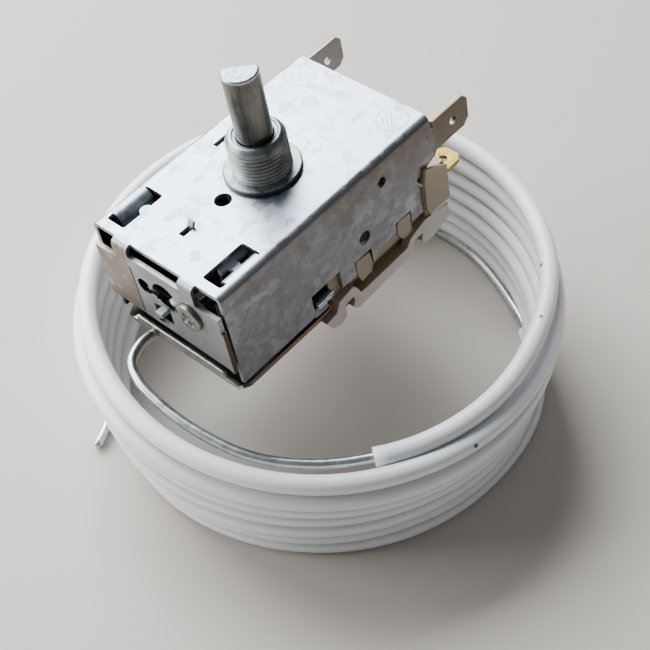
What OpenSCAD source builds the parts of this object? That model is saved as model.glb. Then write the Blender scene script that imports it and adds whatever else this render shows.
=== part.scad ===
/* [Housing] */
// length of the folded sheet housing from front to rear
housing_length = 48.2; // [40:0.1:60]
// width of the housing over its two side walls
housing_width = 29.2; // [24:0.1:40]
// thickness of the galvanised sheet
sheet = 0.8; // [0.6:0.1:1.2]
// height of the side walls below the mounting face
wall_height = 19.8; // [16:0.1:26]
// how far the housing's centre line lies left of the shaft
axis_offset = 0.35; // [0:0.05:1]
// outer radius of the folds
bend = 1.2; // [1:0.1:2]

/* [Bushing and shaft] */
// radius over the bushing's thread
thread_r = 4.95; // [4:0.05:6]
// height of the bushing's rim above the mounting face
bushing_top = 7.9; // [6:0.1:12]
// radius of the bushing's flange
flange_r = 6.5; // [5.5:0.1:8]
// radius of the control shaft
shaft_r = 3.0; // [2.5:0.05:3.5]
// height of the shaft's end above the mounting face
shaft_top = 20.4; // [16:0.1:30]
// distance of the shaft's flat from its axis
flat_d = 0.8; // [0.3:0.1:2.6]
// running clearance round a turning or sliding piece
clear = 0.05; // [0.02:0.01:0.09]

/* [Coil] */
// mean radius of the coiled sleeve at the table
coil_r = 37.5; // [35:0.1:45]
// how much wider each turn is than the one below
spread = 0.35; // [0:0.01:0.5]
// outer radius of the white sleeve
sleeve_r = 1.65; // [1.2:0.05:2]
// number of turns lying on each other
turns = 7; // [3:1:9]
// spacing of the turns along the coil's axis
pitch = 3.25; // [3:0.05:4]
// outer radius of the bare capillary tube
capillary_r = 0.9; // [0.6:0.05:1.2]

/* [Hidden] */
$fn = 20;
xc = -axis_offset;
yh = housing_length / 2;
hw = housing_width / 2;
hi = hw - sheet;
panel_y = yh + bend;
coil_at = [5.2, 0.4, -45.4];
coil_turn = [-2.6, 8.4, 0];
coil_shift = [-1.35, -0.4, 0];
pin_y = 8;
element_y = -13;
blade_z = -19.3;
screw_x = 2.75;
screw_z = -7.7;
trim_x = 6.9;
trim_z = -7.4;
spring_y = -9.8;
spring_low = -16.7;
spring_coils = 5;
spring_pitch = 2.55;
stud_y = -16.9;
window = [9, 13.05, -22.35, -13.6];
flap = [-21, -14];
flap_r = 2;
corner = 0.5;
nose_y = -5.4;
ramp_step = 27;
ramp_rise = 0.16;
wall_outline = [
  [-24.1, -1.2], [24.3, -1.2], [24.3, -3.2], [24.8, -3.2], [24.8, -1.8], [32.4, -1.8], [33.6, -3],
  [33.6, -7], [32.4, -8.2], [25.2, -8.2], [24.6, -9], [22, -10], [19.6, -10.7], [20.2, -13.5],
  [20.2, -18.6], [17.2, -18.6], [17.2, -15.8], [13.3, -15.8], [13.2, -17.8], [9.5, -17.8],
  [8.3, -18.2], [7.4, -19.4], [7.1, -19.6], [7.1, -16.1], [3, -16.1], [3, -19], [-0.5, -19],
  [-0.5, -15], [-7.3, -15], [-7.3, -wall_height], [-24.1, -wall_height]
];
panel_outline = [
  [-14.5, -3.9], [-9.5, -3.9], [-9.5, -1.2], [-6, -1.2], [-6, -2], [5.7, -2], [5.7, -1.2], [8.8, -1.2],
  [8.8, -3.9], [13.8, -3.9], [13.8, -7], [14.2, -7], [14.2, -16.5], [12.9, -16], [-14.5, -15.3]
];
rail_outline = [
  [-2.2, -20.6], [1.2, -20], [1.9, -20.8], [2.8, -22.8], [14.7, -22.6], [15.6, -21.4], [17.2, -20.7],
  [19.8, -19.9], [25.8, -20.9], [25.7, -23.8], [21.3, -25.2], [19.5, -25.2], [18.4, -24.1],
  [18.9, -22.4], [16.9, -22.2], [16.4, -23.4], [16.1, -24.8], [2.6, -25.6], [1.5, -25.6],
  [0.5, -24.4], [1.1, -23.4], [1, -22.1], [-1.1, -22.3], [-1.3, -25], [-2.8, -25.8], [-4.7, -25],
  [-5.9, -22.8], [-3.2, -22.4]
];
ear_outline = [
  [-6.7, -18], [-5.3, -18.05], [-4.2, -17.8], [-3.2, -17.7], [-3, -17.2], [-3.2, -16.8],
  [-4.2, -16.9], [-5.3, -17.1], [-6.7, -17.1], [-6.95, -17.55]
];
tower_outline = [
  [21.2, -9.3], [24.1, -10.6], [26.4, -12.1], [26.2, -19.1], [25, -20.2], [21.3, -20], [20.4, -18], [20.6, -12]
];
lead_points = [
  [-15.6, -25.9, 20.45], [-15.8, -28.9, 20.4], [-14.3, -32.6, 20.3], [-10.8, -34.5, 20.2],
  [-5, -35.3, 20.1], [3.3, -34.9, 20], [13.4, -32.3, 20], [21.9, -26.4, 20], [27.9, -20.1, 20]
];
sleeve_polar = [
  [-36, 33.9, 20], [-22, 34.3, 20.7], [-8, 34.8, 21.4], [5, 35.1, 21.9], [18, 35.5, 22.1],
  [33, 36.4, 22], [48, 37.8, 21.9], [63, 39, 21.8], [80, 40.1, 21.6], [99, 40.7, 21.4],
  [122, 40.9, 21.2], [150, 41, 21], [185, 41.2, 20.7], [215, 41.3, 20.4], [244, 40.5, 20.1],
  [270, 39.5, 19.9], [300, 38, 19.6]
];
end_polar = [[-22, 37, 0.2], [-8, 36.8, 0], [8, 37.1, 0], [24, 37.6, 0], [38, 37.2, 0], [52, 36.8, 0]];
tail_polar = [
  [52, 36.8, -0.4], [60, 36.7, -0.7], [72, 36.7, -0.75], [83, 37.3, -0.75], [98, 37.6, -0.75],
  [120, 38.1, -0.75], [150, 38.6, -0.75], [180, 38.9, -0.75], [212, 39, -0.75], [236, 40.1, -0.75],
  [242, 42, -0.75], [245, 43.9, -0.75]
];

function polar(p) = [p[1] * cos(p[0]), p[1] * sin(p[0]), p[2]];
function spline(a, b, c, d, t) =
  0.5 * (2 * b + (c - a) * t + (2 * a - 5 * b + 4 * c - d) * t * t + (3 * b - a - 3 * c + d) * t * t * t);
function smooth(p, n) = [
  for (i = [0:len(p) - 2], k = [0:n - 1])
    spline(p[max(i - 1, 0)], p[i], p[i + 1], p[min(i + 2, len(p) - 1)], k / n), p[len(p) - 1]
];
function unit(v) = v / norm(v);
function ring(p, i, r, m) =
  let (
    along = unit(p[min(i + 1, len(p) - 1)] - p[max(i - 1, 0)]),
    side = unit(cross([0, 0, 1], along)),
    up = cross(along, side)
  )
  [for (k = [0:m - 1]) p[i] + r * (cos(360 * k / m) * side + sin(360 * k / m) * up)];

// a round tube along smoothed points
module tube(points, r, n, m) {
  p = smooth(points, n);
  last = len(p) - 1;
  polyhedron(
    [for (i = [0:last]) each ring(p, i, r, m)],
    concat(
      [[for (k = [0:m - 1]) k]],
      [for (i = [0:last - 1], k = [0:m - 1])
        [i * m + k, (i + 1) * m + k, (i + 1) * m + (k + 1) % m, i * m + (k + 1) % m]],
      [[for (k = [m - 1:-1:0]) last * m + k]]
    )
  );
}

// from the coil's own frame into the part's
module coiled() translate(coil_at) rotate(coil_turn) children();

// a plain box between two opposite corners
module box(a, b) translate(a) cube(b - a);

// a quarter of a folded sheet's bend, seen along the fold
module fold() intersection() {
  difference() {
    circle(bend);
    circle(bend - sheet);
  }
  square(bend);
}

// a sheet standing along Y, drawn as (y, z)
module sheet_x(x, t) translate([x, 0, 0]) rotate([90, 0, 90]) linear_extrude(t) children();

// a sheet standing along X, drawn as (x, z)
module sheet_y(y, t) translate([0, y, 0]) rotate([90, 0, 0]) linear_extrude(t) children();

// both sides of the housing's centre plane
module both_sides() {
  translate([xc, 0, 0]) children();
  translate([xc, 0, 0]) mirror([1, 0, 0]) children();
}

module housing() color("silver") {
  translate([0, 0, -sheet]) linear_extrude(sheet) difference() {
    translate([xc - hw + bend, -yh]) square([housing_width - 2 * bend, housing_length]);
    circle(4);
    translate([-0.5, -8.75]) circle(1.5);
    both_windows();
    translate([-1.1, -18.1]) square([1.2, 2.2]);
    translate([-11.1, -0.6]) square([1, 4.1]);
  }
  both_sides() {
    translate([hw - bend, yh, -bend]) rotate([90, 0, 0]) linear_extrude(housing_length) fold();
    lanced_flap();
    sheet_x(hi, sheet) difference() {
      polygon(wall_outline);
      translate([6.1, -12.8]) circle(1.3);
      translate([11.75, -4.8]) circle(1);
      translate([29.7, -5.2]) circle(0.8);
    }
  }
  for (leg = [[-9.5, 3.5], [5.7, 3.1]])
    translate([leg[0], -yh, -bend]) rotate([90, 0, 90]) linear_extrude(leg[1]) mirror([1, 0]) fold();
  sheet_y(sheet - panel_y, sheet) difference() {
    polygon(panel_outline);
    translate([-3.7, -7.3]) circle(1.6);
    translate([1.2, -7]) circle(2.9);
    translate([-3, -8.4]) square([2.4, 1.9]);
    translate([trim_x, trim_z]) circle(1.35 + clear);
    translate([-2.7, -14.9]) square([3.95, 5.5]);
    translate([-6.45, -17]) square([0.3, 12.7]);
  }
  translate([-1.1, -15.9, -sheet]) rotate([70, 0, 0]) cube([1.2, 2, 0.5]);
}

// the rounded windows in the top plate over the range lever's ears
module both_windows() both_sides() {
  translate([window[0], window[2] + corner])
    square([window[1] - window[0], window[3] - window[2] - 2 * corner]);
  translate([window[0] + corner, window[2]])
    square([window[1] - window[0] - 2 * corner, window[3] - window[2]]);
  for (x = [window[0] + corner, window[1] - corner], y = [window[2] + corner, window[3] - corner])
    translate([x, y]) circle(corner);
}

// the plate's own metal, cut free round a window and curled down at its outer edge
module lanced_flap() translate([window[1], flap[1], -flap_r]) rotate([90, 0, 0])
  linear_extrude(flap[1] - flap[0]) {
    intersection() {
      difference() {
        circle(flap_r);
        circle(flap_r - sheet);
      }
      translate([-flap_r, 0]) square(flap_r);
    }
    translate([-flap_r, -0.6]) square([sheet, 0.61]);
  }

module mounting_bushing() color("gray") difference() {
  union() {
    translate([0, 0, -1.4]) cylinder(r = 4.6, h = 0.6);
    translate([0, 0, -0.8]) cylinder(r = 4, h = 0.8);
    cylinder(r = flange_r, h = 0.9);
    translate([0, 0, 0.9]) cylinder(r = thread_r, h = 5.9);
    translate([0, 0, 6.8]) cylinder(r = 4.6, h = bushing_top - 6.8);
  }
  translate([0, 0, -2]) cylinder(r = shaft_r + clear, h = 12);
  translate([0, 0, bushing_top - 0.9]) cylinder(r = 3.6, h = 1);
}

module control_shaft() color("lightgray") difference() {
  union() {
    translate([0, 0, -1.6]) cylinder(r = shaft_r, h = shaft_top + 1.4);
    translate([0, 0, shaft_top - 0.2]) cylinder(r1 = shaft_r, r2 = shaft_r - 0.2, h = 0.2);
    translate([0, 0, -2.5]) cylinder(r = 4.3, h = 0.9);
    translate([0, 0, -5.3]) cylinder(r = 2.4, h = 2.8);
    translate([0, 0, -5.9]) cylinder(r = 2, h = 0.6);
    translate([0, 0, -6.4]) cylinder(r = 2.4, h = 0.5);
  }
  rotate([0, 0, 131]) translate([flat_d, -4, 9.4]) cube([4, 8, 12]);
}

module cam() color("ivory") difference() {
  union() {
    translate([0, 0, -3.4]) cylinder(r = 6.8, h = 0.9);
    translate([0, 0, -5.2]) cylinder(r = 3.6, h = 1.9);
    for (i = [-5:5]) rotate([0, 0, i * ramp_step - 90]) cam_step(0.9 - i * ramp_rise);
  }
  translate([0, 0, -6]) cylinder(r = 2.4, h = 4);
}

// one step of the cam's underside, at its own depth
module cam_step(depth) translate([0, 0, -3.4 - depth]) linear_extrude(depth + 0.2) intersection() {
  difference() {
    circle(6.6);
    circle(4.2);
  }
  polygon([[0, 0], [9, -9 * tan(ramp_step / 2)], [9, 9 * tan(ramp_step / 2)]]);
}

module shaft_clip() color("dimgray") translate([0, 0, -5.9]) linear_extrude(0.6) difference() {
  circle(3.2);
  circle(2);
  translate([0, -1.3]) square([4, 2.6]);
}

module range_lever() color("darkgray") {
  difference() {
    union() {
      box([-9.4, -20.2, -6.1], [8.55, -13.9, -5.2]);
      box([-3.2, -14, -6.1], [2.5, -4.4, -5.2]);
      box([1.5, -20.2, -9.9], [4.9, -19.4, -5.2]);
    }
    translate([screw_x, -18, screw_z]) rotate([90, 0, 0]) cylinder(r = 0.95 + clear, h = 4);
  }
  translate([xc, nose_y, -5.2]) cylinder(r = 0.8, h = 0.5);
  translate([xc, nose_y, -4.7]) cylinder(r1 = 0.8, r2 = 0.35, h = 0.26);
  box([-9.4, -20.2, -5.3], [-8.6, -14.2, -2.1]);
  box([7.75, -18.8, -5.3], [8.55, -13.1, -2]);
  box([-11.2, -20.9, -2.9], [-8.6, -14.2, -2.1]);
  translate([-10.15, stud_y, -2.5]) cylinder(r = 1.15, h = 1.55);
  box([8.5, -17.6, -2.8], [9.45, -15.7, -2]);
  translate([9.45, -16.65, -2.8]) cylinder(r = 0.95, h = 0.8);
}

module range_spring() color("gray") translate([xc, spring_y, spring_low]) {
  for (k = [0:spring_coils - 1]) translate([0, 0, k * spring_pitch])
    rotate_extrude($fn = 20) translate([2.1, 0]) circle(0.35, $fn = 6);
  for (k = [0:spring_coils - 2]) rotate([0, 0, k * 60]) translate([2.1, 0, k * spring_pitch])
    cylinder(r = 0.3, h = spring_pitch, $fn = 6);
}

module range_screw() color("whitesmoke") translate([screw_x, 0, screw_z]) rotate([90, 0, 0]) difference() {
  union() {
    translate([0, 0, 18.6]) cylinder(r = 0.95, h = 5.1);
    translate([0, 0, 23.6]) cylinder(r = 1.1, h = 1.4);
  }
  translate([-1.3, -0.2, 24.5]) cube([2.6, 0.4, 1]);
}

module trim_screw() color("gainsboro") translate([trim_x, 0, trim_z]) rotate([90, 0, 0]) difference() {
  union() {
    translate([0, 0, 20.6]) cylinder(r = 1.35, h = 5);
    translate([0, 0, panel_y]) cylinder(r = 2.6, h = 0.65);
    translate([0, 0, panel_y + 0.65]) cylinder(r1 = 2.6, r2 = 2.4, h = 0.15);
  }
  rotate([0, 0, 40]) translate([-3, -0.3, panel_y + 0.45]) cube([6, 0.6, 1]);
}

module trim_nut() color("silver") translate([trim_x, 0, trim_z]) sheet_y(0.9 - panel_y + sheet, 0.9)
  difference() {
    translate([-2.2, -2.2]) square(4.4);
    circle(1.35 + clear);
  }

module main_lever() color("silver") {
  box([-11.5, -19.8, -18.1], [10.8, -2.9, -17.1]);
  box([-14, -6.3, -18.1], [13.3, -2.9, -17.1]);
  both_sides() sheet_x(13.1, 2.15) polygon(ear_outline);
  box([-3.3, -19.8, -17.1], [2.6, -19, -10.6]);
  box([-0.3, -19.8, -10.7], [1.1, -19, -9.55]);
  box([5.6, -19.8, -17.1], [8.2, -19, -6.6]);
  box([-0.3, -26.9, -10.5], [1.1, -19, -9.55]);
  box([xc - 2, -5, -17.1], [xc + 2, -4.1, -13.4]);
  box([xc - 2, -4.1, -14.4], [xc + 2, 9.6, -13.4]);
}

module contact_block() color("wheat") difference() {
  union() {
    box([xc - 13.65, -2.8, -21], [xc + 13.65, 21.3, -16.4]);
    box([xc - 13.65, -2.8, -16.4], [xc + 13.65, -0.8, -14.6]);
    box([xc - 12.75, -2.4, -23.1], [xc + 12.75, 21.3, -21]);
    box([xc - 13.65, -2.4, -25], [xc + 13.65, 25.6, -22.9]);
    box([xc - 13.65, 21.3, -22.9], [xc + 13.65, 26.2, -12.2]);
    both_sides() {
      sheet_x(13.65, 0.85) polygon([
        [3.4, -16.4], [6.6, -16.8], [6.9, -19], [6.6, -21.2], [4, -21.6], [3.2, -19.2]
      ]);
      sheet_x(13.65, 0.85) polygon([
        [13.6, -16.6], [14.2, -16.1], [17, -16.3], [17.1, -21], [14.7, -20.7], [13.7, -18.9]
      ]);
      sheet_x(13.6, 1.55) polygon(rail_outline);
      sheet_x(14.75, 0.6) polygon(tower_outline);
      box([13.6, 20.4, -20], [14.75, 26.2, -12.8]);
      box([13.6, 22.2, -12.8], [14.75, 26.2, -11.2]);
      box([11.4, 21.3, -12.2], [13.6, 26.2, -11.2]);
    }
  }
  box([-9.2, -0.8, -21.8], [8.45, 6.4, -16.3]);
  box([-9.2, 6.4, -21.8], [8.45, 9.6, -17.6]);
  box([-9.2, 9.6, -21.8], [8.45, 19.8, -16.3]);
  translate([xc, pin_y, -18]) cylinder(r = 0.9 + clear, h = 2);
  for (x = [10.9, xc, -11.6]) box([x - 2.4, 21, -16.4], [x + 2.4, 27, -15.6]);
  both_sides() box([2.9, 24.2, -24], [8.1, 27, -12]);
}

// the outline of a flat blade's free end with its hole
module blade_end(x) difference() {
  translate([x, 0]) polygon([
    [-2.4, 18], [2.4, 18], [2.4, 31.2], [1.4, 32.4], [-1.4, 32.4], [-2.4, 31.2]
  ]);
  translate([x, 29.85]) circle(0.7);
}

module right_terminal() color("gold") {
  translate([0, 0, -16.4]) linear_extrude(0.8) {
    blade_end(10.9);
    translate([8.5, 3.4]) square([4.8, 14.7]);
    translate([7.6, 3.4]) square([1, 2.8]);
  }
  box([7.6, 3.4, -21.8], [8.4, 6.2, -16.4]);
  box([-1.9, 3.4, -21.8], [7.7, 6.2, -21]);
}

module middle_terminal() color("gold") {
  translate([0, 0, -16.4]) linear_extrude(0.8) blade_end(xc);
  box([xc - 2, 18, -19], [xc + 2, 19.6, -16.4]);
}

module left_terminal() color("gold") translate([0, 0, -16.4]) linear_extrude(0.8) {
  blade_end(-11.6);
  translate([-14, 8]) square([4.8, 10.1]);
}

module fixed_contact() color("lightgray") translate([xc, 4.8, -21]) cylinder(r = 1.25, h = 0.98);

module moving_blade() color("peru") difference() {
  box([xc - 2, 3.6, blade_z], [xc + 2, 19.5, blade_z + 0.2]);
  box([xc - 1.1, 10.4, blade_z - 1], [xc + 1.1, 11.2, blade_z + 1]);
}

module moving_contact() color("lightgray") translate([xc, 4.8, blade_z - 0.7])
  cylinder(r = 1.2, h = 0.7);

module snap_spring() color("silver") translate([xc - 0.8, 13.6, blade_z + 0.2]) rotate([90, 0, 90])
  linear_extrude(1.6) intersection() {
    difference() {
      circle(1.3);
      circle(1.1);
    }
    translate([-2, 0]) square([4, 2]);
  }

module push_pin() color("ivory") translate([xc, pin_y, blade_z + 0.22]) cylinder(r = 0.9, h = 4.66);

module element_plate() color("tan") difference() {
  union() {
    translate([0, 0, -22.3]) linear_extrude(1) polygon([
      [-14.6, -3.6], [-13.2, -3.6], [-13.2, -2.5], [12.5, -2.5], [12.5, -3.6], [13.9, -3.6],
      [13.9, -22.8], [12.9, -24.6], [-13.6, -24.6], [-14.6, -22.8]
    ]);
    sheet_y(-24, 0.6) polygon([[-11.6, -22.3], [10.3, -22.3], [9.6, -20], [-11.2, -20]]);
    both_sides() box([12.9, -16, -21.4], [13.7, -12, -17.6]);
  }
  translate([xc, element_y, -24]) cylinder(r = 2 + clear, h = 4);
}

module element_cup() color("tan") translate([xc, element_y, -25.3]) difference() {
  cylinder(r = 10, h = 3);
  translate([0, 0, 0.4]) cylinder(r = 9.6, h = 4);
}

module bellows() color("gold") translate([xc, element_y, -24.9]) rotate_extrude() polygon([
  [0, 0], [7, 0], [7.6, 0.4], [7, 0.8], [5.6, 0.9], [7, 1], [7.6, 1.4], [7, 1.8], [5.6, 1.9],
  [6.4, 2], [6.4, 2.4], [0, 2.4]
]);

module push_button() color("ivory") translate([xc, element_y, 0]) {
  translate([0, 0, -22.48]) cylinder(r = 2, h = 3.9);
  translate([0, 0, -18.58]) cylinder(r1 = 2, r2 = 1.2, h = 0.43);
}

module capillary_lead() color("lightgray") coiled() tube(lead_points, capillary_r, 2, 8);

module sleeve_start() color("white") coiled() tube([for (p = sleeve_polar) polar(p)], sleeve_r, 2, 10);

module sleeve_coil() color("white") coiled() translate(coil_shift) rotate_extrude()
  for (k = [0:turns - 1]) translate([coil_r + k * spread, k * pitch]) circle(sleeve_r, $fn = 16);

module sleeve_end() color("white") coiled() tube([for (p = end_polar) polar(p)], sleeve_r, 1, 10);

module capillary_tail() color("lightgray") coiled() tube([for (p = tail_polar) polar(p)], capillary_r, 2, 8);

housing();
mounting_bushing();
control_shaft();
cam();
shaft_clip();
range_lever();
range_spring();
range_screw();
trim_screw();
trim_nut();
main_lever();
contact_block();
right_terminal();
middle_terminal();
left_terminal();
fixed_contact();
moving_blade();
moving_contact();
snap_spring();
push_pin();
element_plate();
element_cup();
bellows();
push_button();
capillary_lead();
sleeve_start();
sleeve_coil();
sleeve_end();
capillary_tail();
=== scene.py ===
"""A refrigerator's temperature control: a galvanised housing with a threaded bushing and a shaft,
and a capillary tube that is coiled in a white sleeve.

The row frame has its origin on the shaft's axis at the top plate's upper face, with +Z up along
the shaft and +Y to the rear. Shapes are given in millimetres and built in metres.
"""
import math

import bmesh
import bpy
import numpy as np
from mathutils import Matrix, Vector


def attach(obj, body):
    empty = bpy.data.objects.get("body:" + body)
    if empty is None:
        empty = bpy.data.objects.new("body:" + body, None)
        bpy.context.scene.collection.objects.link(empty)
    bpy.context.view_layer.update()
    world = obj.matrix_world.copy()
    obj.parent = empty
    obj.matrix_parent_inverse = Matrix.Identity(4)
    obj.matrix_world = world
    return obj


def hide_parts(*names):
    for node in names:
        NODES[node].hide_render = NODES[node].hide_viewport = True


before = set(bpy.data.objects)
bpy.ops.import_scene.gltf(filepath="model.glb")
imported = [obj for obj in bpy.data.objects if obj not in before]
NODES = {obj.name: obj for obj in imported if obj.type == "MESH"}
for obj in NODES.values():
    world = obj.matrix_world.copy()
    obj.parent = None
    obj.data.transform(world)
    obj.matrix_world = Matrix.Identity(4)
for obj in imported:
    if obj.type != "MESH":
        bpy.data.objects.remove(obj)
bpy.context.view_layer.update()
MM = 0.001

# camera, in metres, with two of its axes
LENS = 79.9
SENSOR = 36
NEAREST = 0.01
CAMERA_AT = (0.13834, -0.10187, 0.15594)
CAMERA_RIGHT = (0.7289, 0.6687, -0.1466)
CAMERA_BACK = (0.5210, -0.4030, 0.7524)


def add_camera():
    """The camera at the photograph's angle: back is squared to right, and up is back cross right."""
    data = bpy.data.cameras.new("camera")
    data.lens = LENS
    data.sensor_width = SENSOR
    data.clip_start = NEAREST
    camera = bpy.data.objects.new("camera", data)
    bpy.context.scene.collection.objects.link(camera)
    right = Vector(CAMERA_RIGHT).normalized()
    back = Vector(CAMERA_BACK)
    back = (back - right * back.dot(right)).normalized()
    turned = Matrix((right, back.cross(right), back)).transposed().to_4x4()
    camera.matrix_world = Matrix.Translation(CAMERA_AT) @ turned
    bpy.context.scene.camera = camera


add_camera()

# the coil's own frame: its middle in metres and its two tilts in degrees
COIL_MIDDLE = (0.0052, 0.0004, -0.0454)
COIL_TILT_Y = 8.4
COIL_TILT_X = -2.6
COIL = (
    Matrix.Translation(COIL_MIDDLE)
    @ Matrix.Rotation(math.radians(COIL_TILT_Y), 4, "Y")
    @ Matrix.Rotation(math.radians(COIL_TILT_X), 4, "X")
)
COIL_TURN = np.array(COIL.to_3x3())
COIL_AT = np.array(COIL.translation)

# sleeve and capillary: radii, places in the coil's frame, and angles counted on from turn to turn
SLEEVE_R = 1.65
SLEEVE_SIDES = 20
TUBE_R = 0.9
TUBE_SIDES = 14
PITCH = 3.25
FLOOR_H = -SLEEVE_R
LAP = 360
ANGLE_STEP = 4
SLEEVE_START = -36
SLEEVE_END = 2572
LAST_TURN = 7 * LAP
TOP_ANGLE = 312
TOP_H = 19.5
CLIMB_ANGLES = (-36, -22, -8, 5, 18)
CLIMB_HEIGHTS = (20.0, 20.7, 21.4, 21.9, 22.15)
LEAD = [
    (-15.6, -25.9, 20.45), (-15.8, -28.9, 20.4), (-14.3, -32.6, 20.3), (-10.8, -34.5, 20.2),
    (-5.0, -35.3, 20.1), (3.3, -34.9, 20.0), (13.4, -32.3, 20.0), (21.9, -26.4, 20.0),
]
LEAD_POINTS = 60
# the place in the row frame, in metres, where the capillary leaves the element plate
TUBE_EXIT = (-0.0071, -0.0246, -0.0217)
# each turn's radius at these angles, from the top turn down to the one on the floor
TURN_ANGLES = (-30, 0, 25, 50, 70, 92, 150, 215, 245, 270, 290, 310)
TURN_RADII = [
    (34.0, 35.0, 35.9, 38.0, 39.5, 40.6, 41.0, 41.35, 40.4, 39.5, 38.6, 37.8),
    (37.2, 37.45, 38.2, 39.0, 39.7, 39.7, 40.7, 42.1, 42.2, 40.9, 39.8, 38.8),
    (38.2, 38.0, 38.2, 38.9, 39.4, 39.3, 40.3, 41.3, 41.7, 40.3, 39.3, 38.2),
    (37.5, 37.1, 37.4, 38.2, 38.6, 38.8, 39.6, 40.6, 41.0, 40.4, 39.1, 37.9),
    (37.0, 36.7, 36.9, 37.4, 37.9, 38.3, 39.0, 39.9, 40.3, 40.1, 39.2, 38.0),
    (37.1, 36.5, 36.8, 37.7, 38.1, 38.5, 38.6, 38.9, 39.3, 39.2, 38.4, 37.5),
    (36.7, 36.5, 36.4, 37.4, 38.1, 38.6, 38.2, 37.5, 38.2, 38.6, 38.1, 37.4),
    (37.0, 36.8, 37.5, 36.9),
]
# the bare tail under the coil: angle in the last turn and radius
TAIL = [
    (60, 36.7), (72, 36.7), (83, 37.3), (98, 37.6), (110, 38.0), (122, 38.9), (138, 39.9), (160, 40.0),
    (185, 39.7), (212, 39.7), (226, 40.0), (236, 40.6), (242, 42.0), (245, 43.9),
]
TAIL_STEP = 2.0
TAIL_DROP = 12
# the pinched tip: steps on past the last point, in spans of the line, and the last radii
TIP_STEPS = (0.5, 0.85, 1.0)
TIP_TAPER = (1.0, 0.8, 0.35)
# shade between the turns: where it starts and its span, as the cosine of the angle to the next
# turn, and how far off that turn still shades, in radii
GROOVE_FROM = 0.42
GROOVE_SPAN = 0.4
GROOVE_REACH = 2.5


def from_coil(points):
    """Points in millimetres in the coil's frame, taken into the row frame in metres."""
    return np.asarray(points, float) * MM @ COIL_TURN.T + COIL_AT


def catmull(keys, values, at):
    """A smooth curve through values at rising keys, read at the places in at.

    Each span is the cubic that meets both values and both slopes, and the slope at a key is
    the weighted mean of the slopes beside it.
    """
    keys, values, at = (np.asarray(a, float) for a in (keys, values, at))
    slope = np.gradient(values, keys, axis=0)
    i = np.clip(np.searchsorted(keys, at) - 1, 0, len(keys) - 2)
    span = keys[i + 1] - keys[i]
    t = (at - keys[i]) / span
    if values.ndim > 1:
        t, span = t[:, None], span[:, None]
    a, b = values[i], values[i + 1]
    return (
        (2 * t**3 - 3 * t**2 + 1) * a + (t**3 - 2 * t**2 + t) * span * slope[i]
        + (3 * t**2 - 2 * t**3) * b + (t**3 - t**2) * span * slope[i + 1]
    )


def helix_height(angle):
    """The height of the sleeve's centre at an angle.

    It starts a little under the top, climbs on to the highest turn, and then falls by one
    pitch a turn down to the table.
    """
    falling = TOP_H - PITCH * (angle - TOP_ANGLE) / LAP
    start = np.interp(angle, CLIMB_ANGLES, CLIMB_HEIGHTS)
    height = np.where(angle < CLIMB_ANGLES[-1], start, falling)
    return np.where(height < 0, 0, height)


def turn_radius(angle):
    """The radius at an angle, smooth through the table of the turns."""
    pairs = [
        (at + LAP * turn, radius)
        for turn, row in enumerate(TURN_RADII) for at, radius in zip(TURN_ANGLES, row)
    ]
    keys, radii = zip(*pairs)
    return catmull(keys, radii, angle)


def on_coil(angle, radius, height):
    """Points round the coil's axis: radius times cosine and sine of the angle, and height."""
    a = np.radians(angle)
    return np.stack([radius * np.cos(a), radius * np.sin(a), height], -1)


def sleeve_line():
    """The sleeve's centre line in the coil's frame, in millimetres."""
    angle = np.arange(SLEEVE_START, SLEEVE_END + 1, float(ANGLE_STEP))
    return on_coil(angle, turn_radius(angle), helix_height(angle))


def lead_line(inside):
    """The bare capillary before the sleeve: smooth through the lead's points and into the sleeve."""
    lead = LEAD + [tuple(inside[0]), tuple(inside[2])]
    keys = np.concatenate([[0], np.cumsum(np.linalg.norm(np.diff(lead, axis=0), axis=1))])
    return catmull(keys, lead, np.linspace(0, keys[-2], LEAD_POINTS)[:-1])


def tail_line():
    """The bare capillary after the sleeve: smooth through the tail's radii, lying on the floor."""
    end_radius = float(turn_radius(np.array([float(SLEEVE_END)]))[0])
    keys, radii = zip(*[(SLEEVE_END, end_radius), *((at + LAST_TURN, r) for at, r in TAIL)])
    angle = np.arange(SLEEVE_END + ANGLE_STEP, keys[-1], TAIL_STEP)
    height = np.interp(angle, [SLEEVE_END, SLEEVE_END + TAIL_DROP], [0, TUBE_R + FLOOR_H])
    return on_coil(angle, catmull(keys, radii, angle), height)


def tube_line():
    """The capillary's centre line in the row frame: lead, sleeve's line, tail and a short tip."""
    inside = sleeve_line()
    line = from_coil(np.concatenate([lead_line(inside), inside, tail_line()]))
    line[0] = TUBE_EXIT
    tip = line[-1] - line[-2]
    return np.concatenate([line, line[-1] + np.outer(TIP_STEPS, tip)])


def mesh_object(name, points, faces, smooth=True):
    """An object of the given points, in metres, and faces."""
    data = bpy.data.meshes.new(name)
    data.from_pydata(np.asarray(points, float).tolist(), [], faces)
    data.update()
    if smooth:
        data.polygons.foreach_set("use_smooth", np.ones(len(data.polygons), bool))
    obj = bpy.data.objects.new(name, data)
    bpy.context.scene.collection.objects.link(obj)
    return obj


def points_of(obj):
    """An object's points as rows of x, y and z in metres."""
    points = np.empty(len(obj.data.vertices) * 3)
    obj.data.vertices.foreach_get("co", points)
    return points.reshape(-1, 3)


def ring_faces(rings, sides):
    """Quads between neighbouring rings of a grid, ring by ring."""
    ring, side = np.meshgrid(np.arange(rings - 1), np.arange(sides), indexing="ij")
    after = (side + 1) % sides
    low, high = ring * sides, (ring + 1) * sides
    return np.stack([low + side, low + after, high + after, high + side], -1).reshape(-1, 4).tolist()


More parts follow.
